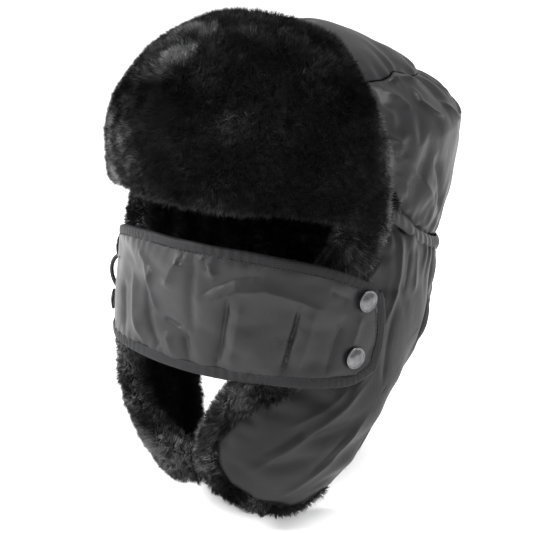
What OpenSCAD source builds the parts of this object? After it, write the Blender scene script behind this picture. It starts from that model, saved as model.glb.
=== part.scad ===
// Winter trapper hat with a turned-up fur brim flap, ear flaps closed at the chin and a press-stud face mask.
// Units are millimetres. The wearer faces -Y, the wearer's left is +X, up is +Z.
// The origin is the centre of the head opening, level with the brow.

/* [Shown piece] */
// Piece to draw, or all of them

/* [Crown] */
// Half width of the crown outside
crown_half_width = 93; // [84:1:104]
// Front half length of the crown outside
crown_front = 114; // [102:1:126]
// Rear half length of the crown outside
crown_back = 111; // [100:1:126]
// Height of the crown above the brow level, outside
crown_height = 78; // [66:1:110]
// Height of the widest ring of the crown
crown_belly = 20; // [8:1:34]
// Roundness of the dome, 2 is an ellipse
crown_power = 1.7; // [1.6:0.1:2.6]
// How far the top slopes down towards the back, per mm
crown_slope = 0.2; // [0:0.01:0.3]
// How much the hem ring is gathered in below the belly
hem_tuck = 0.09; // [0:0.01:0.15]
// Share of the dome below the top panel seam
seam_at = 0.54; // [0.4:0.02:0.9]

/* [Layers] */
// Thickness of the nylon shell
shell = 1.2; // [0.6:0.1:2]
// Depth of the batting in the crown
batting = 4.8; // [3:0.2:9]
// Depth of the plush lining
pile = 9.6; // [6:0.2:14]
// Space left between two layers
gap = 0.2; // [0.1:0.05:0.4]
// Height of the folded hem band
band = 9; // [6:1:16]

/* [Brim flap] */
// Angle from the middle to each side edge of the brim flap, degrees
brim_angle = 64; // [45:1:70]
// Depth of the long fur on the brim flap, middle
brim_pile = 11; // [8:1:24]
// Depth of the long fur at the side edges
brim_edge = 3; // [3:1:12]
// Dome angle that the upper edge of the brim flap reaches, degrees
brim_top = 64; // [45:1:75]
// Angle by which each side edge of the brim flap has moved in at its top, degrees
brim_taper = 8; // [0:1:14]
// Dome angle by which the upper corners of the brim flap fall short of its middle, degrees
brim_corner = 10; // [0:1:16]

/* [Ear flaps] */
// Level of the fold line across each ear flap
fold_z = -118; // [-128:1:-116]
// Depth of the batting in the ear flaps
flap_batting = 3.4; // [2:0.2:6]
// Rear edge of each ear flap, degrees from the front
flap_rear = 112.5; // [100:2.5:120]
// Space between the two ear flap ends at the chin
chin_gap = 1.6; // [1.4:0.1:3]

/* [Face mask] */
// Angle from the nose to each end of the mask, degrees
mask_angle = 70; // [62:1:74]
// Clear space between an ear flap and the mask
mask_standoff = 4.8; // [4.6:0.1:7]
// Thickness of the mask shell
mask_shell = 1.2; // [0.8:0.1:2]
// Thickness of the mask lining
mask_lining = 1.6; // [1:0.1:3]
// Width of the tape round the mask
tape = 7; // [4:1:10]
// How far the nose of the mask bulges out
nose_bulge = 4; // [0:0.5:10]

/* [Fasteners] */
// Diameter of a snap cap
snap_d = 12.5; // [9:0.5:16]
// Diameter of the elastic loop cord
cord_d = 2.6; // [2:0.1:4]
// How far the free loop stands out at the side
loop_reach = 19; // [12:1:40]

/* [Hidden] */
// Segments round the full crown
ring = 32;
// Facets on round metal
$fn = 40;
// Colours of the materials
nylon = [0.20, 0.20, 0.22];
// Inside layers
wadding = [0.85, 0.85, 0.82];
// Plush
fur = [0.10, 0.10, 0.11];
// Snap metal
metal = [0.42, 0.42, 0.44];
// Woven parts
tapecol = [0.15, 0.15, 0.16];

// ---------- curves that set the shape ----------

// Signed power, for superellipses
function sp(v, p) = v == 0 ? 0 : sign(v) * pow(abs(v), p);
function mix(a, b, s) = a + (b - a) * s;
// Degrees from the front, 0 to 180, the same on both sides
function side(t) = abs(t) > 180 ? 360 - abs(t) : abs(t);
// Lower edge of the crown round the head
function hem_z(t) = lookup(side(t), [
    [0, 2], [45, 0], [56.25, -3], [67.5, -9], [78.75, -20], [90, -36],
    [101.25, -45], [120, -54], [150, -60], [180, -62]]);
// Lower edge of the ear flaps and the neck guard
// The left flap (s above 0) hangs straight; the right one is drawn in under it at the chin
function bottom_z(t, s) = s > 0 ? lookup(side(t), [
    [0, -172], [15, -186], [34, -196], [49, -197], [60, -186], [70, -161],
    [80, -129], [86, -118], [92, -111], [100, -106], [112, -104], [140, -106], [180, -108]])
    : lookup(side(t), [
    [0, -178], [15, -182], [34, -186], [49, -187], [60, -184], [70, -177],
    [80, -163], [88, -144], [96, -118], [104, -108], [112, -104], [140, -106], [180, -108]]);
// Front edge of an ear flap, degrees from the front at each level
function front_t(z, s) = s > 0 ? lookup(z, [
    [-172, 0], [-148, 0], [-132, 3], [-118, 8], [-100, 18], [-80, 30],
    [-60, 40], [-40, 48], [-10, 60], [0, 64]])
    : lookup(z, [
    [-178, 0], [-158, 0], [-151, 14], [-141, 32], [-130, 43], [-118, 47], [-105, 46],
    [-80, 43], [-60, 43], [-40, 49], [-10, 60], [0, 64]]);
// How far the lower part of the right flap is drawn in towards the jaw
function draw_in(z, s) = s > 0 ? 0 : lookup(z, [
    [-200, 22], [-178, 18], [-160, 11], [-145, 4], [-130, 1], [-118, 0]]);
// Half width, front and back reach and squareness of the lower part at each level
function low_a(z) = lookup(z, [
    [-200, 62], [-160, 79], [-130, 84], [-100, 85], [-70, 85], [-40, 85], [0, 84]]);
function low_f(z) = lookup(z, [
    [-200, 96], [-160, 108], [-130, 110], [-100, 108], [-70, 106], [-40, 105], [0, 104]]);
function low_b(z) = lookup(z, [
    [-200, 54], [-130, 70], [-100, 82], [-70, 93], [-40, 101], [0, 104]]);
function low_n(z) = lookup(z, [
    [-200, 2.3], [-160, 2.6], [-130, 2.7], [-100, 2.6], [-70, 2.45], [-40, 2.3], [0, 2.1]]);
// A point of the lower part: t degrees from the front, level z, o mm outside the shell, d mm drawn in
function low(t, z, o, d = 0) = let(
    n = cos(t) > 0 ? low_n(z) : 2,
    r = cos(t) > 0 ? -low_f(z) - o : low_b(z) + o)
    [(low_a(z) - d + o) * sp(sin(t), 2 / n), r * pow(abs(cos(t)), 2 / n), z];
// A point of the crown: h is the dome angle, -25 at the hem and 90 at the top
function dome(t, h, o, zh, tuck) = let(
    s = h < 0 ? -h / 25 : 0,
    k = h < 0 ? 1 - tuck * s * s : pow(max(0, cos(h)), 2 / crown_power),
    w = h < 0 ? 0 : pow(sin(h), 2 / crown_power),
    x = (crown_half_width + o) * k * sin(t),
    y = -((cos(t) > 0 ? crown_front : crown_back) + o) * k * cos(t))
    [x, y, (h < 0 ? mix(crown_belly, zh, s) : mix(crown_belly, crown_height + o, w))
        - crown_slope * y * w];
function crown(t, v, o) = dome(t, mix(-25, 90, v), o, hem_z(t), hem_tuck);
// Upper and lower edges of the mask
function mask_top(t) = lookup(abs(t), [
    [0, -28], [14, -29], [28, -32], [42, -37], [52, -43], [60, -50], [65.6, -58], [70, -68]]);
function mask_low(t) = lookup(abs(t), [
    [0, -105], [21, -104], [42, -106], [56, -108], [62, -106], [65.6, -103], [70, -93]]);
// Bulge over the nose, a smooth bump
function bump(t, z) = nose_bulge * exp(-pow(t / 16, 2)) * exp(-pow((z + 48) / 24, 2));
function mask_at(t, z, o) = let(p = low(t, z, o))
    [p.x, p.y + 4.5 * pow(cos(t), 2) - bump(t, z), z];

// ---------- solids from two skins ----------

// Faces listed the other way round
function turned(fs) = [for (f = fs) [for (i = [len(f) - 1:-1:0]) f[i]]];
// A solid between two skins, each a list of rows of points, open at all four edges
module skin_pair(out, inn) {
    rows = len(out);
    cols = len(out[0]);
    half = rows * cols;
    pts = concat([for (r = out) each r], [for (r = inn) each r]);
    a = [for (i = [0:rows - 2], j = [0:cols - 2]) let(p = i * cols + j)
        each [[p, p + 1, p + cols + 1], [p, p + cols + 1, p + cols]]];
    b = [for (i = [0:rows - 2], j = [0:cols - 2]) let(p = half + i * cols + j)
        each [[p, p + cols + 1, p + 1], [p, p + cols, p + cols + 1]]];
    e1 = [for (j = [0:cols - 2]) let(p = j)
        each [[p, half + p, half + p + 1], [p, half + p + 1, p + 1]]];
    e2 = [for (j = [0:cols - 2]) let(p = (rows - 1) * cols + j)
        each [[p, half + p + 1, half + p], [p, p + 1, half + p + 1]]];
    e3 = [for (i = [0:rows - 2]) let(p = i * cols)
        each [[p, half + p + cols, half + p], [p, p + cols, half + p + cols]]];
    e4 = [for (i = [0:rows - 2]) let(p = i * cols + cols - 1)
        each [[p, half + p, half + p + cols], [p, half + p + cols, p + cols]]];
    polyhedron(points = pts, faces = turned(concat(a, b, e1, e2, e3, e4)), convexity = 8);
}
// A closed ring between two skins; the last column joins the first
module ring_pair(out, inn) {
    rows = len(out);
    cols = len(out[0]);
    half = rows * cols;
    pts = concat([for (r = out) each r], [for (r = inn) each r]);
    a = [for (i = [0:rows - 2], j = [0:cols - 1]) let(p = i * cols + j, q = i * cols + (j + 1) % cols)
        each [[p, q, q + cols], [p, q + cols, p + cols]]];
    b = [for (i = [0:rows - 2], j = [0:cols - 1])
        let(p = half + i * cols + j, q = half + i * cols + (j + 1) % cols)
        each [[p, q + cols, q], [p, p + cols, q + cols]]];
    e1 = [for (j = [0:cols - 1]) let(p = j, q = (j + 1) % cols)
        each [[p, half + p, half + q], [p, half + q, q]]];
    e2 = [for (j = [0:cols - 1]) let(p = (rows - 1) * cols + j, q = (rows - 1) * cols + (j + 1) % cols)
        each [[p, half + q, half + p], [p, q, half + q]]];
    polyhedron(points = pts, faces = turned(concat(a, b, e1, e2)), convexity = 8);
}
// A dome between two skins; the rows close on one top point each
module dome_pair(out, inn, top, under) {
    rows = len(out);
    cols = len(out[0]);
    half = rows * cols;
    t1 = 2 * half;
    t2 = t1 + 1;
    pts = concat([for (r = out) each r], [for (r = inn) each r], [top, under]);
    a = [for (i = [0:rows - 2], j = [0:cols - 1]) let(p = i * cols + j, q = i * cols + (j + 1) % cols)
        each [[p, q, q + cols], [p, q + cols, p + cols]]];
    b = [for (i = [0:rows - 2], j = [0:cols - 1])
        let(p = half + i * cols + j, q = half + i * cols + (j + 1) % cols)
        each [[p, q + cols, q], [p, p + cols, q + cols]]];
    c = [for (j = [0:cols - 1]) let(p = (rows - 1) * cols + j, q = (rows - 1) * cols + (j + 1) % cols)
        [p, q, t1]];
    d = [for (j = [0:cols - 1])
        let(p = half + (rows - 1) * cols + j, q = half + (rows - 1) * cols + (j + 1) % cols)
        [p, t2, q]];
    e1 = [for (j = [0:cols - 1]) let(p = j, q = (j + 1) % cols)
        each [[p, half + p, half + q], [p, half + q, q]]];
    polyhedron(points = pts, faces = turned(concat(a, b, c, d, e1)), convexity = 8);
}

// ---------- crown ----------

// Levels of the crown rows below and above the top panel seam
side_rows = [for (i = [0:6]) seam_at * i / 6];
top_rows = [for (i = [0:4]) mix(seam_at + 0.008, 0.93, i / 4)];
function side_skin(from, o) = [for (v = side_rows) [for (j = [0:ring / 2])
    crown(from + 0.15 + 179.7 * j * 2 / ring, v, o)]];
module crown_left_panel() { color(nylon) skin_pair(side_skin(0, 0), side_skin(0, -shell)); }
module crown_right_panel() { color(nylon) skin_pair(side_skin(180, 0), side_skin(180, -shell)); }
function ring_rows(rows, o) = [for (v = rows) [for (j = [0:ring - 1]) crown(j * 360 / ring, v, o)]];
module crown_top_panel() {
    color(nylon) dome_pair(ring_rows(top_rows, 0), ring_rows(top_rows, -shell),
        crown(0, 1, 0), crown(0, 1, -shell));
}
module crown_batting() {
    o1 = -shell - gap;
    o2 = o1 - batting;
    rows = concat(side_rows, top_rows);
    color(wadding) dome_pair(ring_rows(rows, o1), ring_rows(rows, o2), crown(0, 1, o1), crown(0, 1, o2));
}
module crown_lining() {
    o1 = -shell - batting - 2 * gap;
    o2 = o1 - pile;
    rows = concat(side_rows, top_rows);
    color(fur) dome_pair(ring_rows(rows, o1), ring_rows(rows, o2), crown(0, 1, o1), crown(0, 1, o2));
}
// The band covers the upper edge of the ear flaps and the neck guard
function band_skin(o) = [for (d = [band, band / 2, gap]) [for (j = [0:ring - 1])
    let(t = j * 360 / ring) low(t, hem_z(t) - d, o)]];
module crown_hem_band() { color(nylon) ring_pair(band_skin(2.1), band_skin(0.9)); }
function elastic_skin(o) = [for (d = [band - 1, band / 2, 1]) [for (j = [10:22])
    let(t = j * 360 / ring) low(t, hem_z(t) - d, o)]];
module hem_elastic() { color(tapecol) skin_pair(elastic_skin(0), elastic_skin(-1.5)); }

// ---------- brim flap ----------

function brim_low(t) = lookup(abs(t), [[0, 4], [32, 2], [48, -6], [56, -12], [64, -16]]);
// The flap keeps the belly width down to its lower edge, so that it can swing forward
function brim_at(u, v, o) = let(t = u * (brim_angle - brim_taper * v * v))
    dome(t, mix(-25, brim_top - brim_corner * pow(abs(u), 3), v), o + 1.4, brim_low(t), 0);
// Fur depth over the flap: thick in the middle, thin at its edges
function brim_fur(u, v) = let(e = 1 - pow(abs(u), 4), f = 1 - pow(abs(2 * v - 1), 4))
    mix(brim_edge, brim_pile, e * (0.35 + 0.65 * f));
function brim_grid(o, k) = [for (i = [0:7]) [for (j = [-8:8])
    brim_at(j / 8, i / 7, o + k * brim_fur(j / 8, i / 7))]];
module front_flap_backing() {
    color(nylon) skin_pair(brim_grid(shell, 0), brim_grid(0, 0));
}
module front_flap_interlining() {
    color(wadding) skin_pair(brim_grid(shell + gap + 1.6, 0), brim_grid(shell + gap, 0));
}
module front_flap_fur() {
    color(fur) skin_pair(brim_grid(shell + 2 * gap + 1.6, 1), brim_grid(shell + 2 * gap + 1.6, 0));
}

// ---------- ear flaps ----------

// Upper flap, from the hem band down to the fold line; u runs back from the front edge
function upper_t(u, v, s) = mix(front_t(mix(upper_top(0), fold_z, v), s), flap_rear - 0.3, u);
function upper_top(u) = hem_z(mix(60, flap_rear, u)) - 2;
function upper_low(u, s) = max(fold_z, bottom_z(mix(front_t(fold_z, s), flap_rear, u), s));
function upper_z(u, v, s) = let(
    zf = mix(upper_top(0), fold_z, v),
    zr = mix(upper_top(1), upper_low(1, s), v),
    a = upper_top(u) - mix(upper_top(0), upper_top(1), u),
    b = upper_low(u, s) - mix(upper_low(0, s), upper_low(1, s), u))
    mix(zf, zr, u) + mix(a, b, v);
function upper_skin(us, sgn, o) = [for (i = [8:-1:0]) [for (u = us) let(
    z = upper_z(u, i / 8, sgn), p = low(upper_t(u, i / 8, sgn), z, o)) [sgn * p.x, p.y, z]]];
// End of the flap, below the fold line
function end_rear(s) = s > 0 ? 80 : 92;
function end_tip(s) = s > 0 ? -172 : -178;
function end_z(u, v, s) = let(
    t = mix(mix(front_t(fold_z, s), 0, min(1, v * 2)), end_rear(s), u),
    zt = fold_z - 0.4)
    mix(zt, min(zt - 6, bottom_z(t, s)), v);
function end_t(u, v, s) = mix(front_t(mix(fold_z, end_tip(s), v), s), end_rear(s), u);
function end_skin(us, sgn, o) = [for (i = [8:-1:0]) [for (u = us) let(
    z = end_z(u, i / 8, sgn), p = low(end_t(u, i / 8, sgn), z, o, draw_in(z, sgn)),
    x = max(chin_gap / 2, p.x)) [sgn * x, p.y, z]]];
module flap_solid(a, b, sgn) {
    if (sgn > 0) skin_pair(a, b);
    else skin_pair(b, a);
}
// Columns of the flap grid: the first two make the turned fur edge
upper_cols = [0, 0.07, 0.14, 0.28, 0.42, 0.56, 0.7, 0.85, 1];
end_cols = [0, 0.1, 0.2, 0.36, 0.52, 0.68, 0.84, 1];
// The plush faces in, and its turned edge fills the space in front of shell and batting
fur_out = -shell - flap_batting - 2 * gap;
fur_in = fur_out - pile;
function part_of(cols, a, b) = [for (i = [a:b]) cols[i]];
// Cloth columns start a little behind the turned edge
function cloth(cols) = concat([cols[2] + 0.004], part_of(cols, 3, len(cols) - 1));
module upper_shell(sgn) {
    c = cloth(upper_cols);
    color(nylon) flap_solid(upper_skin(c, sgn, 0), upper_skin(c, sgn, -shell), sgn);
}
module upper_batting(sgn) {
    c = cloth(upper_cols);
    color(wadding) flap_solid(upper_skin(c, sgn, -shell - gap),
        upper_skin(c, sgn, -shell - gap - flap_batting), sgn);
}
module upper_fur(sgn) {
    color(fur) flap_solid(upper_skin(upper_cols, sgn, fur_out), upper_skin(upper_cols, sgn, fur_in), sgn);
}
module upper_edge(sgn) {
    c = part_of(upper_cols, 0, 2);
    color(fur) flap_solid(upper_skin(c, sgn, 0), upper_skin(c, sgn, fur_out + gap), sgn);
}
module end_shell(sgn) {
    c = cloth(end_cols);
    color(nylon) flap_solid(end_skin(c, sgn, 0), end_skin(c, sgn, -shell), sgn);
}
module end_batting(sgn) {
    c = cloth(end_cols);
    color(wadding) flap_solid(end_skin(c, sgn, -shell - gap), end_skin(c, sgn, -shell - gap - flap_batting), sgn);
}
module end_fur(sgn) {
    color(fur) flap_solid(end_skin(end_cols, sgn, fur_out), end_skin(end_cols, sgn, fur_in), sgn);
}
module end_edge(sgn) {
    c = part_of(end_cols, 0, 2);
    color(fur) flap_solid(end_skin(c, sgn, 0), end_skin(c, sgn, fur_out + gap), sgn);
}
module left_flap_shell() { upper_shell(1); }
module left_flap_batting() { upper_batting(1); }
module left_flap_fur() { upper_fur(1); }
module left_flap_fur_edge() { upper_edge(1); }
module right_flap_shell() { upper_shell(-1); }
module right_flap_batting() { upper_batting(-1); }
module right_flap_fur() { upper_fur(-1); }
module right_flap_fur_edge() { upper_edge(-1); }
module left_end_shell() { end_shell(1); }
module left_end_batting() { end_batting(1); }
module left_end_fur() { end_fur(1); }
module left_end_fur_edge() { end_edge(1); }
module right_end_shell() { end_shell(-1); }
module right_end_batting() { end_batting(-1); }
module right_end_fur() { end_fur(-1); }
module right_end_fur_edge() { end_edge(-1); }

// ---------- neck guard ----------

function neck_skin(o, drop) = [for (i = [4:-1:0]) [for (j = [0:12])
    let(t = mix(flap_rear, 360 - flap_rear, j / 12),
        z = mix(hem_z(t) - drop, bottom_z(t, 1), i / 4)) low(t, z, o)]];
module neck_guard_shell() { color(nylon) skin_pair(neck_skin(0, band + gap), neck_skin(-shell, band + gap)); }
module neck_guard_batting() {
    color(wadding) skin_pair(neck_skin(-shell - gap, band + gap),
        neck_skin(-shell - gap - flap_batting, band + gap));
}
module neck_guard_fur() { color(fur) skin_pair(neck_skin(fur_out, 2), neck_skin(fur_in, 2)); }

// ---------- chin closure ----------

// Hook and loop patches on the two faces that meet under the chin
module chin_patch(sgn) {
    mirror([sgn < 0 ? 1 : 0, 0, 0]) translate([0.2, -105, -171]) cube([chin_gap / 2 - 0.2, 8, 14]);
}
module chin_hook_patch() { color(tapecol) chin_patch(1); }
module chin_loop_patch() { color(tapecol) chin_patch(-1); }

// ---------- face mask ----------

// Angle of a tape width at the mask ends
tape_t = 4.4;
in_t = mask_angle - tape_t;
m_in = mask_standoff;
m_mid = mask_standoff + mask_lining;
m_out = m_mid + gap + mask_shell;
// Columns of the mask grid, and the same with the two ends
mask_cols = [for (j = [0:20]) mix(-in_t, in_t, j / 20)];
all_cols = concat([-mask_angle], mask_cols, [mask_angle]);
function mask_rows(o) = [for (i = [8:-1:0]) [for (t = mask_cols)
    mask_at(t, mix(mask_top(t) - tape, mask_low(t) + tape, i / 8), o)]];
module mask_panel(o1, o2) { skin_pair(mask_rows(o1), mask_rows(o2)); }
module mask_outer_shell() { color(nylon) mask_panel(m_out, m_mid + gap); }
module mask_inner_lining() { color(tapecol) mask_panel(m_mid, m_in); }
// Tape rows along the upper edge, the lower edge and the two ends
function tape_top(o) = [for (d = [tape - gap, 0]) [for (t = all_cols) mask_at(t, mask_top(t) - d, o)]];
function tape_low(o) = [for (d = [0, tape - gap]) [for (t = all_cols) mask_at(t, mask_low(t) + d, o)]];
function tape_end(es, o) = [for (i = [4:-1:0]) [for (e = es)
    mask_at(e, mix(mask_top(e) - tape - gap, mask_low(e) + tape + gap, i / 4), o)]];
module mask_top_binding() { color(tapecol) skin_pair(tape_top(m_out), tape_top(m_in)); }
module mask_bottom_binding() { color(tapecol) skin_pair(tape_low(m_out), tape_low(m_in)); }
module mask_left_binding() {
    e = [in_t + 0.15, mask_angle];
    color(tapecol) skin_pair(tape_end(e, m_out), tape_end(e, m_in));
}
module mask_right_binding() {
    e = [-mask_angle, -in_t - 0.15];
    color(tapecol) skin_pair(tape_end(e, m_out), tape_end(e, m_in));
}

// ---------- snaps ----------

// Where the snaps sit: degrees from the front, level
snap_spots = [[61, -60], [57.5, -91]];
// Puts a child on the ear flap with its own Z along the outward normal
module on_flap(sgn, t, z) {
    p = low(t, z, 0);
    q = low(t + 2, z, 0);
    r = low(t - 2, z, 0);
    d = q - r;
    mirror([sgn < 0 ? 1 : 0, 0, 0]) translate(p) rotate([0, 0, atan2(d.y, d.x) - 90]) rotate([0, 90, 0]) children();
}
module each_snap() {
    for (s = [1, -1], k = snap_spots) on_flap(s, k[0], k[1]) children();
}
module snap_caps() {
    color(metal) each_snap() translate([0, 0, m_out + 0.4]) rotate_extrude() polygon([
        [0, 0], [snap_d / 2, 0], [snap_d / 2, 0.7], [snap_d / 2 - 0.5, 1.1], [snap_d / 2 - 1.2, 1.2],
        [snap_d * 0.3, 2.1], [snap_d * 0.15, 2.5], [0, 2.6]]);
}
module snap_sockets() {
    color(metal) each_snap() translate([0, 0, 1.5]) rotate_extrude() polygon([
        [4.3, 0], [5.4, 0], [5.6, 0.3], [5.6, m_in - 2.8], [0, m_in - 2.8], [0, 1.3], [1.9, 1.3]]);
}
module snap_studs() {
    color(metal) each_snap() translate([0, 0, 0.25]) rotate_extrude() polygon([
        [0, 0], [5, 0], [5, 0.6], [2.2, 0.9], [1.9, 1.4], [1.4, 2.1], [0, 2.1]]);
}

// ---------- ear loops ----------

// A round cord through a list of points, with even rings
module cord(pts) {
    n = len(pts);
    m = 8;
    dir = [for (i = [0:n - 1]) let(d = pts[min(n - 1, i + 1)] - pts[max(0, i - 1)]) d / norm(d)];
    ref = [0.05, -1, 0.03];
    rings = [for (i = [0:n - 1]) let(
        s = cross(dir[i], ref), s1 = s / norm(s), s2 = cross(dir[i], s1))
        [for (a = [0:m - 1]) pts[i] + cord_d / 2 * (cos(a * 360 / m) * s1 + sin(a * 360 / m) * s2)]];
    body = [for (i = [0:n - 2], a = [0:m - 1]) let(p = i * m + a, q = i * m + (a + 1) % m)
        each [[p, q, q + m], [p, q + m, p + m]]];
    caps = [[for (a = [m - 1:-1:0]) a], [for (a = [0:m - 1]) (n - 1) * m + a]];
    polyhedron(points = [for (r = rings) each r], faces = turned(concat(body, caps)), convexity = 6);
}
// The right loop stands out free of the mask end
module ear_loop_right() {
    e = mask_at(mask_angle, -86, (m_in + m_out) / 2);
    color(tapecol) cord([for (a = [-90:12:90])
        [-(e.x + loop_reach * cos(a)), e.y + 2.8 + 4 * cos(a), -86 + 15 * sin(a)]]);
}
// The left loop is tucked between the mask end and the ear flap
module ear_loop_left() {
    color(tapecol) cord([for (a = [-90:12:90]) let(t = 64.6 - 13 * cos(a), z = -76 + 7.5 * sin(a))
        low(t, z, 2.15)]);
}

// ---------- every piece by name ----------

crown_top_panel();
crown_left_panel();
crown_right_panel();
crown_batting();
crown_lining();
crown_hem_band();
hem_elastic();
front_flap_backing();
front_flap_interlining();
front_flap_fur();
left_flap_shell();
left_flap_batting();
left_flap_fur();
left_flap_fur_edge();
right_flap_shell();
right_flap_batting();
right_flap_fur();
right_flap_fur_edge();
left_end_shell();
left_end_batting();
left_end_fur();
left_end_fur_edge();
right_end_shell();
right_end_batting();
right_end_fur();
right_end_fur_edge();
neck_guard_shell();
neck_guard_batting();
neck_guard_fur();
chin_hook_patch();
chin_loop_patch();
mask_outer_shell();
mask_inner_lining();
mask_top_binding();
mask_bottom_binding();
mask_left_binding();
mask_right_binding();
snap_caps();
snap_sockets();
snap_studs();
ear_loop_left();
ear_loop_right();
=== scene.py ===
"""Looks of the trapper hat: puffed nylon, plush, a sewn face mask, press studs and elastic loops.

Shapes are worked out in millimetres on the same surfaces as the CAD part, and turned into metres in
mesh_piece(). The wearer faces -Y, the wearer's left is +X, up is +Z. t is in degrees round the head from
the front, z is the level, and o is the offset out from the nylon surface.
"""
import math

import bpy
import numpy as np
from mathutils import Matrix, Vector


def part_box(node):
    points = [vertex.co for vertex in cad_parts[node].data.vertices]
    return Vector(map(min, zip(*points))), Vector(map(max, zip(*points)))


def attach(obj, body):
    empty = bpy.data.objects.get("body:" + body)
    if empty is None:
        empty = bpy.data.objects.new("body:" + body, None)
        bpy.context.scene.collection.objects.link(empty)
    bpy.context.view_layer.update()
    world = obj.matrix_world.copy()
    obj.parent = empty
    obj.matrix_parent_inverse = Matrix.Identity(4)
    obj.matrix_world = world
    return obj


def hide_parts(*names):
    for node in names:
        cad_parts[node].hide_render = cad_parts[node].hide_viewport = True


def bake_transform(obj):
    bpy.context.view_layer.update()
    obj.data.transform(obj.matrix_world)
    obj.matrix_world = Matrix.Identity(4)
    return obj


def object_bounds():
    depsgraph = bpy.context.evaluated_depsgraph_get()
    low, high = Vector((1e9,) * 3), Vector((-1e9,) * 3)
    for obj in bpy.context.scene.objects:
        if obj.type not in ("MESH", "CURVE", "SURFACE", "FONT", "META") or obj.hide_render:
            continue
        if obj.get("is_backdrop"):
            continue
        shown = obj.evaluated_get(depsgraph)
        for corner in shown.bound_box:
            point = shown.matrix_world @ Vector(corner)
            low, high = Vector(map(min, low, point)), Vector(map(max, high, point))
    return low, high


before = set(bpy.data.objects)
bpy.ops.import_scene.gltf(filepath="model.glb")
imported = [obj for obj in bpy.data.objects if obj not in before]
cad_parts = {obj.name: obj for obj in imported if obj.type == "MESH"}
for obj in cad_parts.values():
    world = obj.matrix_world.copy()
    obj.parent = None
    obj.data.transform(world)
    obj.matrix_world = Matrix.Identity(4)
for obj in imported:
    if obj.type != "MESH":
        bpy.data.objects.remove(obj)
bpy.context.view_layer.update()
MM = 0.001


# ---------- laws: smooth curves through a few points ----------

def law(*points):
    """A smooth curve through the points that never swings past them."""
    x, y = np.array(points, float).T
    slope = np.diff(y) / np.diff(x)
    before, after = slope[:-1], slope[1:]
    same = before * after > 0
    middle = np.where(same, 2 * before * after / np.where(same, before + after, 1), 0)
    tangent = np.concatenate([[slope[0]], middle, [slope[-1]]])

    def value(at):
        at = np.clip(at, x[0], x[-1])
        i = np.clip(np.searchsorted(x, at, side="right") - 1, 0, len(x) - 2)
        width = x[i + 1] - x[i]
        s = (at - x[i]) / width
        start = (1 + 2 * s) * (1 - s) ** 2 * y[i] + s * (1 - s) ** 2 * width * tangent[i]
        end = s * s * (3 - 2 * s) * y[i + 1] + s * s * (s - 1) * width * tangent[i + 1]
        return start + end

    return value


hem_z = law((0, 2), (45, 0), (56.25, -3), (67.5, -9), (78.75, -20), (90, -36),
            (101.25, -45), (120, -54), (150, -60), (180, -62))
# The left flap (side 1) hangs straight; the right one (side -1) is drawn in under it at the chin
bottom_z = {
    1: law((0, -172), (15, -184), (34, -195), (46, -197), (58, -185), (70, -164),
           (80, -136), (86, -123), (92, -113), (100, -107), (112, -104), (140, -106), (180, -108)),
    -1: law((0, -178), (15, -182), (34, -187), (49, -189), (60, -188), (70, -184),
            (80, -173), (88, -155), (96, -128), (104, -111), (112, -104)),
}
front_t = {
    1: law((-172, 0), (-148, 0), (-132, 3), (-118, 8), (-100, 18), (-80, 30),
           (-60, 40), (-40, 48), (-10, 60), (0, 64)),
    -1: law((-178, 0), (-158, 0), (-151, 14), (-141, 32), (-130, 43), (-118, 47), (-105, 46),
            (-80, 43), (-60, 43), (-40, 49), (-10, 60), (0, 64)),
}
# How far behind the front edge of a flap its nylon starts, in degrees
trim_t = {
    1: law((-172, 8), (-150, 6), (-135, 7), (-117, 11), (-105, 17), (-60, 17), (0, 15)),
    -1: law((-178, 62), (-158, 62), (-151, 48), (-141, 28), (-130, 17), (-118, 12), (-60, 14), (0, 15)),
}
# Level of each flap's tip
flap_tip = {1: -172, -1: -178}
draw_in = law((-200, 21), (-178, 17), (-160, 10), (-145, 3), (-130, 0), (-118, 0))
low_a = law((-200, 62), (-160, 79), (-130, 84), (-100, 85), (-70, 85), (-40, 85), (0, 84))
low_f = law((-200, 96), (-160, 108), (-130, 110), (-100, 108), (-70, 106), (-40, 105), (0, 104))
low_b = law((-200, 54), (-130, 70), (-100, 82), (-70, 93), (-40, 101), (0, 104))
low_n = law((-200, 2.3), (-160, 2.6), (-130, 2.7), (-100, 2.6), (-70, 2.45), (-40, 2.3), (0, 2.1))
brim_low = law((0, -2), (32, -4), (48, -11), (56, -17), (64, -21))
mask_top = law((0, -28), (14, -29), (28, -32), (42, -37), (52, -43), (60, -50), (65.6, -58), (70, -68))
mask_low = law((0, -105), (21, -104), (42, -106), (56, -108), (62, -106), (65.6, -103), (70, -93))

# ---------- driving sizes, taken from the frame where a box shows them ----------

crown_half_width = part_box("crown_left_panel")[1].x / MM
crown_front = -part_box("crown_left_panel")[0].y / MM
crown_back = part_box("crown_left_panel")[1].y / MM
crown_height = 78
crown_belly = 20
crown_power = 1.7
crown_slope = 0.2
hem_tuck = 0.09
seam_v = 0.54
crown_slack = 1.2
brim_angle = 64
brim_top = 64
brim_taper = 8
brim_corner = 10
flap_rear = 112.2
band = 9
shell = 1.2
mask_angle = 70
mask_in = 4.8
mask_out = 7.8
tape = 7
tape_offset = 6.4
tape_depth = 1.9
loop_reach = 19
loop_rise = 15
loop_level = -86
loop_cord = 2.6

# Lengths in mm that one degree takes up on the mask, a flap and the crown, and that v takes up on the crown
MASK_ARC = 1.77
FLAP_ARC = 1.7
CROWN_ARC = 1.65
CROWN_RISE = 200
# Mean radius of the hem in mm, which sets the spacing of its gathers
HEM_RADIUS = 100


# ---------- surfaces ----------

def power(v, p):
    return np.sign(v) * np.abs(v) ** p


def mix(a, b, s):
    return a + (b - a) * s


def grid_of(across, down):
    """Two arrays over a grid, from the values along its rows and down its columns."""
    return np.broadcast_arrays(across[None], down[:, None])


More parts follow.
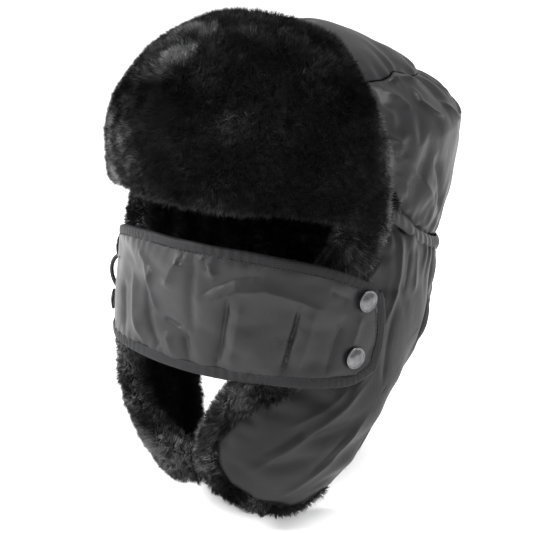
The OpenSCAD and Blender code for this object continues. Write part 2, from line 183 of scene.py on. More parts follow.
def rim_spacing(n):
    """Grid positions from -1 to 1, close together at both ends."""
    return np.sin(np.linspace(-math.pi / 2, math.pi / 2, n))


def rim(x, y, x_power=8, y_power=8):
    """Fullness of a pillow over its grid: 1 in the middle, and 0 at the rim."""
    return ((1 - np.abs(x) ** x_power) * (1 - np.abs(y) ** y_power)) ** 0.45


def side(t):
    t = np.abs(t)
    return np.where(t > 180, 360 - t, t)


def low(t, z, o, drawn=0.0):
    """A point of the lower part of the hat, drawn in at the sides by some mm."""
    t, z, o = np.broadcast_arrays(np.asarray(t, float), np.asarray(z, float), np.asarray(o, float))
    a = np.radians(t)
    ahead = np.cos(a) > 0
    n = np.where(ahead, low_n(z), 2.0)
    reach = np.where(ahead, -low_f(z) - o, low_b(z) + o)
    x = (low_a(z) - drawn + o) * power(np.sin(a), 2 / n)
    return np.stack([x, reach * np.abs(np.cos(a)) ** (2 / n), z], -1)


def dome(t, h, o, hem, tuck):
    """A point of the crown: h is the dome angle, -25 at the hem and 90 at the top."""
    t, h, o, hem = np.broadcast_arrays(*(np.asarray(v, float) for v in (t, h, o, hem)))
    a = np.radians(t)
    up = np.radians(np.maximum(h, 0))
    s = np.where(h < 0, -h / 25, 0)
    k = np.where(h < 0, 1 - tuck * s * s, np.maximum(np.cos(up), 0) ** (2 / crown_power))
    w = np.where(h < 0, 0, np.sin(up) ** (2 / crown_power))
    x = (crown_half_width + o) * k * np.sin(a)
    y = -(np.where(np.cos(a) > 0, crown_front, crown_back) + o) * k * np.cos(a)
    z = np.where(h < 0, mix(crown_belly, hem, s), mix(crown_belly, crown_height + o, w))
    return np.stack([x, y, z - crown_slope * y * w], -1)


def crown(t, v, o):
    return dome(t, mix(-25, 90, v), o, hem_z(side(t)), hem_tuck)


def seam_at(t):
    """Level of the seam round the top panel, as v: it rises in a puffed fold over each ear."""
    return seam_v + 0.04 * np.exp(-((side(t) - 90) / 9) ** 2)


def brim(u, v, o):
    t = u * (brim_angle - brim_taper * v * v)
    return dome(t, mix(-25, brim_top - brim_corner * np.abs(u) ** 3, v), o + 1.4, brim_low(np.abs(t)), 0)


def brim_depth(u, v):
    """Depth of the long fur, thick in the middle of the brim flap and thin at its edges."""
    full = mix(3, 11, (1 - np.abs(u) ** 4) * (0.35 + 0.65 * (1 - np.abs(2 * v - 1) ** 4)))
    return full * (1 - 0.55 * np.clip((-u - 0.2) / 0.5, 0, 1))


def flap_plan(u, v, sign, nylon):
    """Where a flap point lies, as t and z: u runs back from the front edge, v runs down from the hem."""
    front, trim, bottom = front_t[sign], trim_t[sign], bottom_z[sign]
    set_back = (lambda z: trim(z)) if nylon else (lambda z: 0 * z)
    z_front = mix(-11.0 if nylon else -5.0, flap_tip[sign] + 2 * bool(nylon), v)
    t_front = front(z_front) + set_back(z_front)
    t_top = mix(62 + set_back(np.array(-6.0)), flap_rear, u)
    z_top = hem_z(t_top) - 2
    t_low = mix(t_front.ravel()[-1], flap_rear, u)
    z_low = bottom(t_low) + (trim_rise(t_low) if nylon else 0)
    z_rear = mix(hem_z(flap_rear) - 2, bottom(flap_rear), v)
    t_c = mix(mix(t_top[0, 0], t_low[0, 0], v), flap_rear, u)
    z_c = mix(mix(z_top[0, 0], z_low[0, 0], v), mix(z_top[0, -1], z_low[0, -1], v), u)
    t = mix(t_top, t_low, v) + mix(t_front, flap_rear, u) - t_c
    z = mix(z_top, z_low, v) + mix(z_front, z_rear, u) - z_c
    return t, z


def trim_rise(t):
    """How far the nylon ends above the lower edge of the flap, where plush shows round the tip."""
    return 9 * np.clip((42 - t) / 34, 0, 1) ** 0.8


def on_flap(t, z, o, sign):
    """A point of a flap by t and z, on the flap's own side."""
    p = low(t, z, o, draw_in(z) if sign < 0 else 0.0)
    x = np.maximum(p[..., 0], 0.8)
    return np.stack([sign * x, p[..., 1], p[..., 2]], -1)


def flap(u, v, o, sign, nylon=False):
    return on_flap(*flap_plan(u, v, sign, nylon), o, sign)


def neck(u, v, o, top):
    t = mix(flap_rear + 0.4, 359.6 - flap_rear, u)
    return low(t, mix(hem_z(side(t)) - top, bottom_z[1](side(t)), v), o)


def mask_at(t, z, o):
    p = low(t, z, o)
    bump = 4 * np.exp(-(np.asarray(t) / 16) ** 2) * np.exp(-((np.asarray(z) + 48) / 24) ** 2)
    p[..., 1] += 4.5 * np.cos(np.radians(t)) ** 2 - bump
    return p


# ---------- noise ----------

def waves(points, size, seed, parts=1, count=22):
    """Smooth noise of about -1 to 1 with features of one size: a sum of plane waves in fixed directions."""
    rng = np.random.default_rng(seed)
    out = []
    flat = points.reshape(-1, 3)
    for _ in range(parts):
        k = rng.normal(size=(count, 3))
        k *= (2 * math.pi / size * rng.uniform(0.6, 1.5, count) / np.linalg.norm(k, axis=1))[:, None]
        phase = rng.uniform(0, 2 * math.pi, count)
        out.append(np.cos(flat @ k.T + phase).sum(1) / math.sqrt(count))
    found = np.stack(out, -1) if parts > 1 else out[0]
    return found.reshape(points.shape[:-1] + ((parts,) if parts > 1 else ()))


# ---------- cloth simulation ----------

SIM_SCALE = 10
SIM_FRAMES = 22


def held_edges(rows, cols, wrap=False):
    """The sewn edges of a panel's grid."""
    held = np.zeros((rows, cols), bool)
    held[[0, -1]] = True
    if not wrap:
        held[:, [0, -1]] = True
    return held


def sewn_cloth(name, base, held, growth, pressure, high, deep=1.0, wrap=False):
    """Heights in mm of a panel with spare cloth, sewn down where held is true, after a cloth simulation."""
    rows, cols = base.shape[:2]
    index = np.arange(rows * cols).reshape(rows, cols)
    if wrap:
        index = np.concatenate([index, index[:, :1]], 1)
    flat = base.reshape(-1, 3)
    faces = quads(index)
    normal = vertex_normals(flat, faces)
    if (normal * (flat - np.array([0, 0, -60]))).sum() < 0:
        faces = faces[:, ::-1]
        normal = -normal
    start = flat + 0.5 * waves(flat, 22, 7)[:, None] * normal * ~held.reshape(-1, 1)
    mesh = bpy.data.meshes.new(name)
    mesh.from_pydata((start * MM * SIM_SCALE).tolist(), [], faces.tolist())
    piece = bpy.data.objects.new(name, mesh)
    bpy.context.scene.collection.objects.link(piece)
    group = piece.vertex_groups.new(name="held")
    group.add(np.flatnonzero(held).tolist(), 1.0, "ADD")
    cloth = piece.modifiers.new("cloth", "CLOTH")
    cloth.collision_settings.use_collision = False
    cloth.point_cache.frame_end = SIM_FRAMES
    settings = cloth.settings
    settings.quality = 5
    settings.mass = 0.3
    settings.tension_stiffness = 15
    settings.compression_stiffness = 15
    settings.shear_stiffness = 6
    settings.bending_stiffness = 2.0
    settings.vertex_group_mass = "held"
    settings.shrink_min = -growth
    settings.use_pressure = True
    settings.uniform_pressure_force = pressure
    settings.effector_weights.gravity = 0
    for step in range(1, SIM_FRAMES + 1):
        bpy.context.scene.frame_set(step)
    settled = piece.evaluated_get(bpy.context.evaluated_depsgraph_get()).data
    moved = np.empty(rows * cols * 3, np.float32)
    settled.vertices.foreach_get("co", moved)
    bpy.data.objects.remove(piece)
    bpy.context.scene.frame_set(1)
    height = ((moved.reshape(-1, 3) / (MM * SIM_SCALE) - flat) * normal).sum(1).reshape(rows, cols)
    return np.where(height > 0, high * np.tanh(height / high), deep * np.tanh(height / deep))


def spline_weights(fine, coarse, wrap=False):
    """Weights that carry coarse values onto evenly spaced finer places, along a smooth cubic spline."""
    at = np.linspace(0, coarse, fine, endpoint=False) if wrap else np.linspace(0, coarse - 1, fine)
    first = np.floor(at).astype(int)
    s = at - first
    parts = ((1 - s) ** 3, 3 * s ** 3 - 6 * s * s + 4, -3 * s ** 3 + 3 * s * s + 3 * s + 1, s ** 3)
    weights = np.zeros((fine, coarse))
    for shift, part in enumerate(parts):
        place = first + shift - 1
        place = place % coarse if wrap else np.clip(place, 0, coarse - 1)
        np.add.at(weights, (np.arange(fine), place), part / 6)
    return weights


def finer(heights, rows, cols, wrap=False):
    """Heights on a finer grid over the same panel."""
    return spline_weights(rows, heights.shape[0]) @ heights @ spline_weights(cols, heights.shape[1], wrap).T


# ---------- meshes ----------

def mesh_piece(name, points, faces, materials, smooth=True, shade=None):
    """An object from points in millimetres and faces that all have the same number of corners."""
    mesh = bpy.data.meshes.new(name)
    corners = faces.shape[1]
    mesh.vertices.add(len(points))
    mesh.vertices.foreach_set("co", (points * MM).astype(np.float32).ravel())
    mesh.loops.add(faces.size)
    mesh.loops.foreach_set("vertex_index", faces.astype(np.int32).ravel())
    mesh.polygons.add(len(faces))
    mesh.polygons.foreach_set("loop_start", np.arange(0, faces.size, corners, dtype=np.int32))
    mesh.polygons.foreach_set("use_smooth", np.full(len(faces), smooth))
    for material in materials:
        mesh.materials.append(material)
    if shade is not None:
        mesh.polygons.foreach_set("material_index", shade.astype(np.int32))
    mesh.update(calc_edges=True)
    mesh.validate()
    piece = bpy.data.objects.new(name, mesh)
    bpy.context.scene.collection.objects.link(piece)
    return piece


def quads(index):
    """Quads over a grid of vertex numbers."""
    return np.stack([index[:-1, :-1], index[:-1, 1:], index[1:, 1:], index[1:, :-1]], -1).reshape(-1, 4)


def strip(a, b):
    """Quads between two rows of vertex numbers."""
    return np.stack([a[:-1], a[1:], b[1:], b[:-1]], -1)


def thick_sheet(outer, inner, ring=False):
    """Points and faces of a closed sheet between two grids. A ring's last column is its first."""
    rows, cols = outer.shape[:2]
    index = np.arange(rows * cols).reshape(rows, cols)
    if ring:
        index = np.concatenate([index, index[:, :1]], 1)
    under = index + rows * cols
    faces = [quads(index), quads(under)[:, ::-1], strip(under[0], index[0]), strip(index[-1], under[-1])]
    if not ring:
        faces += [strip(index[:, 0], under[:, 0]), strip(under[:, -1], index[:, -1])]
    return np.concatenate([outer.reshape(-1, 3), inner.reshape(-1, 3)]), np.concatenate(faces)


def pillow(outer, inner):
    """Points and faces of a closed form whose two grids share their outline."""
    rows, cols = outer.shape[:2]
    index = np.arange(rows * cols).reshape(rows, cols)
    inside = np.zeros((rows, cols), bool)
    inside[1:-1, 1:-1] = True
    under = index.copy()
    under[inside] = rows * cols + np.arange(inside.sum())
    points = np.concatenate([outer.reshape(-1, 3), inner[inside]])
    return points, np.concatenate([quads(index), quads(under)[:, ::-1]])


def tube(centres, across, outward, half_width, half_depth, steps=12, square=2.0, ring=False):
    """Points and faces of a closed band along a line, with an oval or squarish section."""
    a = np.linspace(0, 2 * math.pi, steps, endpoint=False)
    c = power(np.cos(a), 2 / square)[None, :, None]
    s = power(np.sin(a), 2 / square)[None, :, None]
    w = np.broadcast_to(half_width, len(centres))[:, None, None]
    d = np.broadcast_to(half_depth, len(centres))[:, None, None]
    rings = centres[:, None] + across[:, None] * w * c + outward[:, None] * d * s
    n = len(centres)
    index = np.arange(n * steps).reshape(n, steps)
    index = np.concatenate([index, index[:, :1]], 1)
    points = rings.reshape(-1, 3)
    if ring:
        return points, quads(np.concatenate([index, index[:1]]))
    points = np.concatenate([points, [centres[0], centres[-1]]])
    first, last = n * steps, n * steps + 1
    half = steps // 2
    caps = []
    for tip, row, turn in ((first, index[0], True), (last, index[-1], False)):
        for i in range(0, 2 * half, 2):
            face = [tip, row[i], row[i + 1], row[i + 2]]
            caps.append(face[::-1] if turn else face)
    return points, np.concatenate([quads(index), np.array(caps)])


def outward_faces(points, faces):
    """The same faces, turned so that the closed form's volume is positive."""
    p = points[faces]
    volume = 0
    for i in range(1, faces.shape[1] - 1):
        volume += np.einsum("ij,ij->i", p[:, 0], np.cross(p[:, i], p[:, i + 1])).sum()
    return faces if volume > 0 else faces[:, ::-1]


def unit(v):
    return v / np.maximum(np.linalg.norm(v, axis=-1, keepdims=True), 1e-9)


def vertex_normals(points, faces):
    p = points[faces]
    normal = np.cross(p[:, 2] - p[:, 0], p[:, -1] - p[:, 1])
    total = np.zeros_like(points)
    for i in range(faces.shape[1]):
        np.add.at(total, faces[:, i], normal)
    return unit(total)


def frames_along(line):
    """Unit tangents along a line of points."""
    return unit(np.gradient(line, axis=0))


def finish(piece, nodes=(), body=None):
    """Hides the CAD nodes that a piece stands for, and attaches it to its body."""
    if nodes:
        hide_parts(*nodes)
    if body:
        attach(piece, body)
    return piece


# ---------- materials ----------

def new_material(name, **values):
    material = bpy.data.materials.new(name)
    material.use_nodes = True
    shader = material.node_tree.nodes["Principled BSDF"]
    for key, value in values.items():
        shader.inputs[key.replace("_", " ").title().replace("Ior", "IOR")].default_value = value
    return material, shader


def noise_node(tree, coords, scale, detail=3.0, rough=0.55):
    node = tree.nodes.new("ShaderNodeTexNoise")
    node.inputs["Scale"].default_value = scale
    node.inputs["Detail"].default_value = detail
    node.inputs["Roughness"].default_value = rough
    tree.links.new(coords, node.inputs["Vector"])
    return node.outputs["Fac"]


def ramp_node(tree, value, low_colour, high_colour, low_at=0.3, high_at=0.7):
    node = tree.nodes.new("ShaderNodeValToRGB")
    node.color_ramp.elements[0].position = low_at
    node.color_ramp.elements[0].color = (*low_colour, 1)
    node.color_ramp.elements[1].position = high_at
    node.color_ramp.elements[1].color = (*high_colour, 1)
    tree.links.new(value, node.inputs["Fac"])
    return node.outputs["Color"]


def bump_node(tree, height, distance, strength, below=None):
    node = tree.nodes.new("ShaderNodeBump")
    node.inputs["Distance"].default_value = distance
    node.inputs["Strength"].default_value = strength
    tree.links.new(height, node.inputs["Height"])
    if below is not None:
        tree.links.new(below, node.inputs["Normal"])
    return node.outputs["Normal"]


def weave_height(tree, coords, pitch):
    """Height of a plain weave, from two crossed bands of threads."""
    total = None
    for direction in ("X", "Z"):
        wave = tree.nodes.new("ShaderNodeTexWave")
        wave.bands_direction = direction
        wave.inputs["Scale"].default_value = 0.314 / pitch
        wave.inputs["Distortion"].default_value = 0.6
        tree.links.new(coords, wave.inputs["Vector"])
        if total is None:
            total = wave.outputs["Fac"]
            continue
        add = tree.nodes.new("ShaderNodeMath")
        add.operation = "MAXIMUM"
        tree.links.new(total, add.inputs[0])
        tree.links.new(wave.outputs["Fac"], add.inputs[1])
        total = add.outputs[0]
    return total


def cloth_material(name, dark, light, roughness, pitch, bump, sheen=0.0, patch=25.0, gloss=0.35):
    """Woven cloth: uneven tone, a fine weave and small surface unevenness."""
    material, shader = new_material(name, roughness=roughness, sheen_weight=sheen, sheen_roughness=0.4)
    tree = material.node_tree
    shader.inputs["Specular IOR Level"].default_value = gloss
    coords = tree.nodes.new("ShaderNodeTexCoord").outputs["Object"]
    tone = noise_node(tree, coords, patch, 4.0, 0.6)
    tree.links.new(ramp_node(tree, tone, dark, light), shader.inputs["Base Color"])
    rough = tree.nodes.new("ShaderNodeMapRange")
    rough.inputs["To Min"].default_value = roughness - 0.06
    rough.inputs["To Max"].default_value = roughness + 0.08
    tree.links.new(noise_node(tree, coords, 60.0), rough.inputs["Value"])
    tree.links.new(rough.outputs[0], shader.inputs["Roughness"])
    soft = bump_node(tree, noise_node(tree, coords, 140.0), 0.0006, 0.25)
    fine = bump_node(tree, weave_height(tree, coords, pitch), 0.0002, bump, soft)
    tree.links.new(fine, shader.inputs["Normal"])
    return material


def hair_material(name, tone, roughness, gloss, sheen):
    material, shader = new_material(name, roughness=roughness, sheen_weight=sheen, sheen_roughness=0.45)
    shader.inputs["Base Color"].default_value = (*tone, 1)
    shader.inputs["Specular IOR Level"].default_value = gloss
    return material


# Painted shade: the flap nylon is a darker, less glossy copy of the crown nylon, standing for the flaps
# facing down and getting less light
flap_nylon_painted_shade = cloth_material("flap_nylon_painted_shade", (0.004, 0.004, 0.0045), (0.009, 0.009, 0.010),
                            0.40, 0.0007, 0.22, gloss=0.2)
nylon = cloth_material("nylon", (0.007, 0.007, 0.008), (0.014, 0.014, 0.0155),
                       0.40, 0.0007, 0.22, gloss=0.24)
mask_nylon = cloth_material("mask_nylon", (0.010, 0.010, 0.011), (0.019, 0.019, 0.0205),
                            0.38, 0.0006, 0.25, gloss=0.3)
tape_cloth = cloth_material("tape_cloth", (0.008, 0.008, 0.009), (0.015, 0.015, 0.0165),
                            0.58, 0.0011, 0.8, 0.02, gloss=0.2)
knit_cloth = cloth_material("knit_cloth", (0.012, 0.012, 0.013), (0.022, 0.022, 0.024),
                            0.8, 0.0009, 0.8, 0.2)
elastic_cloth = cloth_material("elastic_cloth", (0.008, 0.008, 0.009), (0.02, 0.02, 0.021),
                               0.7, 0.0008, 0.9)
thread = cloth_material("thread", (0.006, 0.006, 0.007), (0.014, 0.014, 0.015),
                        0.6, 0.0004, 0.5)
hook_cloth = cloth_material("hook_cloth", (0.006, 0.006, 0.006), (0.016, 0.016, 0.017),
                            0.85, 0.0012, 1.0, 0.2)
lining_skin = cloth_material("lining_skin", (0.010, 0.010, 0.0105), (0.022, 0.022, 0.023),
                             0.9, 0.0014, 1.0, 0.1, 90.0)
skin_cloth = cloth_material("skin_cloth", (0.002, 0.002, 0.0022), (0.006, 0.006, 0.0065),
                            0.9, 0.0014, 1.0, 0.05, 90.0)
# hair_mid and hair_grey are lighter, glossier copies of the black hair: painted sheen where the grey
# offsets lift hairs, besides random tone
hairs = [
    hair_material("hair_black", (0.0025, 0.0025, 0.0027), 0.55, 0.22, 0.04),
    hair_material("hair_dark", (0.007, 0.007, 0.0074), 0.50, 0.34, 0.10),
    hair_material("hair_mid", (0.034, 0.034, 0.035), 0.45, 0.5, 0.25),
    hair_material("hair_grey", (0.150, 0.150, 0.154), 0.40, 0.6, 0.5),
]


def metal_material():
    material, shader = new_material("gunmetal", metallic=1.0, roughness=0.3)
    tree = material.node_tree
    coords = tree.nodes.new("ShaderNodeTexCoord").outputs["Object"]
    tone = noise_node(tree, coords, 350.0, 2.0)
    colour = ramp_node(tree, tone, (0.10, 0.10, 0.105), (0.17, 0.17, 0.175))
    tree.links.new(colour, shader.inputs["Base Color"])
    uneven = bump_node(tree, noise_node(tree, coords, 900.0), 0.0001, 0.15)
    tree.links.new(uneven, shader.inputs["Normal"])
    return material


gunmetal = metal_material()


# ---------- fur ----------

# How far the hairs hang down as they lie
HAIR_DROOP = np.array([0, 0, -0.35])


def fur(name, points, faces, count, length, width, seed, lean=0.6, keep=None, grey=0.0):
    """Closed tapered hairs planted on a skin, or on the faces that keep picks.

    length in mm and grey, the lightness, may be functions of the root points. grey also carries painted
    sheen, lifting hairs to the lighter, glossier hair materials.
    """
    rng = np.random.default_rng(seed)
    planted = faces if keep is None else faces[keep]
    tris = np.concatenate([planted[:, [0, 1, 2]], planted[:, [0, 2, 3]]])
    normals = vertex_normals(points, faces)
    p = points[tris]
    area = np.linalg.norm(np.cross(p[:, 1] - p[:, 0], p[:, 2] - p[:, 0]), axis=1)
    pick = rng.choice(len(tris), count, p=area / area.sum())
    a, b = rng.random(count), rng.random(count)
    over = a + b > 1
    a[over], b[over] = 1 - a[over], 1 - b[over]
    weight = np.stack([1 - a - b, a, b], -1)[..., None]
    root = (p[pick] * weight).sum(1)
    normal = unit((normals[tris[pick]] * weight).sum(1))
    flow = 0.9 * waves(root, 55, seed + 1, 3) + 0.55 * waves(root, 16, seed + 2, 3)
    flow = lean * flow + HAIR_DROOP + 0.45 * waves(root, 5, seed + 3, 3) * lean
    flow += rng.normal(size=(count, 3)) * 0.16
    flow -= (flow * normal).sum(1, keepdims=True) * normal
    lie = np.linalg.norm(flow, axis=1, keepdims=True)
    flow *= np.minimum(1, 1.1 / np.maximum(lie, 1e-6))
    way = unit(normal + flow)
    long = length(root) if callable(length) else length
    long = long * rng.uniform(0.72, 1.1, count) * (1 + 0.14 * waves(root, 7, seed + 4))
    a1 = unit(np.cross(way, [0.31, 0.52, 0.8]))
    a2 = np.cross(way, a1)
    corner = []
    for angle in (0, 2 * math.pi / 3, 4 * math.pi / 3):
        corner.append(root - 0.6 * normal + width / 2 * (math.cos(angle) * a1 + math.sin(angle) * a2))
    tip = root + way * long[:, None]
    verts = np.stack([*corner, tip], 1).reshape(-1, 3)
    base = np.arange(count)[:, None] * 4
    hair = np.array([[0, 1, 3], [1, 2, 3], [2, 0, 3], [2, 1, 0]])
    hair_faces = (base[:, None] + hair[None]).reshape(-1, 3)
    tone = 0.5 * waves(root, 34, 5) + 0.35 * waves(root, 6, 6) + rng.normal(size=count) * 0.42
    shade = np.digitize(tone + (grey(root) if callable(grey) else grey), [-0.25, 0.6, 1.25])
    return mesh_piece(name, verts, hair_faces, hairs, smooth=False, shade=np.repeat(shade, 4))


# ---------- crown ----------

def stroke(a, z, points, depth, width):
    """A crease or ridge along a line drawn on the cloth, at the places a and z in mm."""
    best = np.full(a.shape, 1e9)
    along = np.zeros(a.shape)
    total = sum(math.dist(p, q) for p, q in zip(points[:-1], points[1:]))
    gone = 0.0
    for p, q in zip(points[:-1], points[1:]):
        d = np.array(q, float) - np.array(p, float)
        length = np.hypot(*d)
        s = np.clip(((a - p[0]) * d[0] + (z - p[1]) * d[1]) / length ** 2, 0, 1)
        away = np.hypot(a - p[0] - s * d[0], z - p[1] - s * d[1])
        nearer = away < best
        best = np.where(nearer, away, best)
        along = np.where(nearer, (gone + s * length) / total, along)
        gone += length
    ends = np.clip(np.minimum(along, 1 - along) * 5, 0, 1)
    return depth * np.exp(-(best / width) ** 1.35) * ends


# Folds of the crown over the wearer's left ear: points as t and v, then height and half width in mm
CROWN_FOLDS = [
    ([(74, 0.53), (84, 0.55), (92, 0.53), (99, 0.50)], 2.6, 3.4),
    ([(86, 0.50), (85, 0.43), (90, 0.37), (95, 0.33)], 2.2, 2.6),
    ([(70, 0.50), (75, 0.46), (78, 0.40)], 1.4, 3.0),
    ([(64, 0.33), (69, 0.28), (71, 0.20), (77, 0.15)], 2.2, 1.9),
    ([(67, 0.29), (68, 0.22), (72, 0.17)], -1.6, 2.2),
    ([(78, 0.14), (86, 0.10), (91, 0.08), (96, 0.05)], 2.2, 2.2),
    ([(88, 0.18), (94, 0.13), (98, 0.09), (103, 0.05)], -2.6, 2.4),
    ([(71, 0.13), (76, 0.08), (80, 0.04)], 1.3, 1.9),
    ([(101, 0.42), (107, 0.33), (112, 0.22)], 1.8, 3.0),
    ([(118, 0.48), (124, 0.36), (122, 0.24), (128, 0.12)], 1.9, 2.8),
    ([(134, 0.20), (140, 0.12), (143, 0.05)], -1.8, 2.6),
    ([(150, 0.46), (146, 0.36), (152, 0.27)], 1.7, 3.2),
    ([(163, 0.30), (160, 0.20), (166, 0.10)], 1.6, 2.6),
    ([(30, 0.48), (38, 0.36), (44, 0.28)], 1.3, 3.2),
]


def crown_folds(t, v):
    """Height of the drawn folds, with the right side as a shifted mirror image of the left."""
    shifted = np.where(t > 180, side(t) + 6, t)
    total = 0
    for points, depth, width in CROWN_FOLDS:
        scaled = [(a * CROWN_ARC, b * CROWN_RISE) for a, b in points]
        total = total + stroke(shifted * CROWN_ARC, v * CROWN_RISE, scaled, depth, width)
    return total


def crown_gathers(p, t, s):
    """Gathers at the hem, where s is 0, puckers at the top seam, where it is 1, and the sunk stitching."""
    arc = np.radians(t) * HEM_RADIUS
    hem = np.exp(-s / 0.12)
    seam = np.exp(-(1 - s) / 0.07)
    back = np.clip((side(t) - 60) / 50, 0.3, 1)
    gather = back * (1.1 * np.sin(arc * 0.42 + 2.6 * waves(p, 44, 14)) + 0.4 * np.sin(arc * 0.95)) * hem
    pucker = 0.6 * np.sin(arc * 0.33 + 2.6 * waves(p, 40, 15)) * seam
    return gather + pucker - 1.7 * seam - 0.9 * hem


def crown_side(name, node, from_t):
    """A side panel from the hem to the top seam: cloth simulation, then the drawn folds and gathers."""
    def panel(rows, cols):
        t, s = grid_of(np.linspace(from_t + 0.15, from_t + 179.85, cols), np.linspace(0, 1, rows))
        return t, s, s * seam_at(t)

    t, s, v = panel(52, 130)
    puff = sewn_cloth(name + "_sim", crown(t, v, 0), held_edges(*t.shape), 0.045, 0.6, 3.0)
    t, s, v = panel(110, 330)
    base = crown(t, v, 0)
    ends = np.minimum(t - from_t, from_t + 180 - t)
    relief = finer(puff, *t.shape) + crown_folds(t, v) + 0.5 * waves(base, 30, 13)
    relief = relief + crown_gathers(base, t, s)
    relief = relief * (1 - 0.6 * np.exp(-ends / 3)) - 1.3 * np.exp(-ends / 1.2)
    relief = relief - crown_slack
    points, faces = thick_sheet(crown(t, v, relief), crown(t, v, np.minimum(relief, 0) - shell))
    piece = mesh_piece(name, points, outward_faces(points, faces), [nylon])
    finish(piece, [node], "crown")


def crown_cap():
    """The top panel, drawn together at the middle of the top."""
    def panel(rows, cols):
        t, s = grid_of(np.linspace(0, 360, cols, endpoint=False), np.linspace(0, 1, rows))
        return t, s, mix(seam_at(t) + 0.004, 0.995, s)

    t, s, v = panel(34, 130)
    held = held_edges(*t.shape, wrap=True)
    puff = sewn_cloth("crown_top_sim", crown(t, v, 0), held, 0.04, 0.6, 3.0, wrap=True)
    t, s, v = panel(64, 420)
    base = crown(t, v, 0)
    relief = finer(puff, *t.shape, wrap=True) + 0.5 * waves(base, 30, 16)
    relief = relief + crown_gathers(base, t, 1 - s) * (1 - s)
    relief = relief - crown_slack
    outer, inner = crown(t, v, relief), crown(t, v, np.minimum(relief, 0) - shell)
    for grid in (outer, inner):
        grid[-1] = mix(grid[-1].mean(0), grid[-1], 0.02)
    points, faces = thick_sheet(outer, inner, ring=True)
    piece = mesh_piece("crown_top", points, outward_faces(points, faces), [nylon])
    finish(piece, ["crown_top_panel"], "crown")


def hem_band():
    """The folded band round the hem, drawn into gathers towards the back."""
    t, d = grid_of(np.linspace(0, 360, 900, endpoint=False), np.linspace(0.3, band, 14))
    p = low(t, hem_z(side(t)) - d, 0)
    back = np.clip((side(t) - 70) / 40, 0, 1)
    rib = np.sin(np.radians(t) * HEM_RADIUS * 1.1 + 2.4 * waves(p, 34, 21)) * mix(0.1, 0.45, back)
    belly = 1.7 * np.sin(np.pi * np.clip(d / band, 0, 1)) ** 0.6
    outer = low(t, hem_z(side(t)) - d, 1.0 + belly + rib * np.sin(np.pi * d / band) ** 0.5)
    points, faces = thick_sheet(outer, low(t, hem_z(side(t)) - d, 0.7), ring=True)
    piece = mesh_piece("hem_band", points, outward_faces(points, faces), [nylon])
    finish(piece, ["crown_hem_band"])
    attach(piece, "crown")


def elastic_band():
    """The flat elastic inside the back of the hem, with its ribs drawn together."""
    t, d = grid_of(np.linspace(112.6, 247.4, 420), np.linspace(1, band - 1, 8))
    level = hem_z(side(t)) - d
    rib = 0.15 * np.sin(np.radians(t) * HEM_RADIUS * 3)
    points, faces = thick_sheet(low(t, level, -0.2 + rib), low(t, level, -1.3 + rib))
    piece = mesh_piece("elastic_in_hem", points, outward_faces(points, faces), [elastic_cloth])
    finish(piece, ["hem_elastic"], body="crown")


def crown_plush():
    """The plush lining of the crown: a soft skin with pile on its inner face."""
    t, v = grid_of(np.linspace(0, 360, 150, endpoint=False), np.linspace(0.0, 0.99, 60))
    lump = 0.5 * waves(crown(t, v, 0), 20, 41)
    edge = np.exp(-v / 0.02)
    outer = crown(t, v, -6.6 - 1.5 * edge)
    inner = crown(t, v, -10.4 + lump + 2.0 * edge)
    points, faces = thick_sheet(outer, inner, ring=True)
    faces = outward_faces(points, faces)
    piece = mesh_piece("crown_plush_skin", points, faces, [lining_skin])
    finish(piece, ["crown_lining", "crown_batting"], "crown")
    inside = np.zeros(len(faces), bool)
    inside[(len(v) - 1) * t.shape[1]:2 * (len(v) - 1) * t.shape[1]] = True
    pile = fur("crown_plush_pile", points, faces, 42000, 5.5, 0.7, 43, keep=inside, grey=0.25)
    finish(pile, body="crown")


# ---------- brim flap ----------

def brim_flap():
    u, y = grid_of(rim_spacing(170), rim_spacing(96))
    v = (y + 1) / 2
    base = brim(u, v, 3.2)
    full = rim(u, y, y_power=6)
    lump = 1.0 + 0.10 * waves(base, 45, 51) + 0.07 * waves(base, 17, 52)
    depth = np.maximum(brim_depth(u, v) * 0.62 * full * lump, 0)
    points, faces = pillow(brim(u, v, 3.2 + depth), brim(u, v, 2.9 - 0.4 * full))
    faces = outward_faces(points, faces)
    skin = mesh_piece("brim_fur_skin", points, faces, [skin_cloth])
    finish(skin, ["front_flap_fur", "front_flap_interlining"], "brim_flap")
    for i in range(3):
        coat = fur(f"brim_fur_{i + 1}", points, faces, 46000, brim_pile_length, 0.5, 60 + 10 * i,
                   keep=first_half(faces), lean=0.8, grey=brim_painted_sheen)
        finish(coat, body="brim_flap")
    u, v = grid_of(np.linspace(-1, 1, 200), np.linspace(0, 1, 60))
    wave = 0.25 * waves(brim(u, v, 0), 25, 55)
    points, faces = thick_sheet(brim(u, v, 1.5 + wave), brim(u, v, 0.3 + wave))
    back = mesh_piece("brim_backing", points, outward_faces(points, faces), [nylon])
    finish(back, ["front_flap_backing"])
    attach(back, "brim_flap")


def first_half(faces):
    """Picks the outer grid of a pillow form."""
    return np.arange(len(faces)) < len(faces) // 2


def brim_pile_length(root):
    """Hairs are longest in the middle of the flap."""
    t = np.degrees(np.arctan2(root[:, 0], -root[:, 1]))
    return mix(4.2, 6.0, np.clip(1 - (np.abs(t) / 62) ** 4, 0, 1))


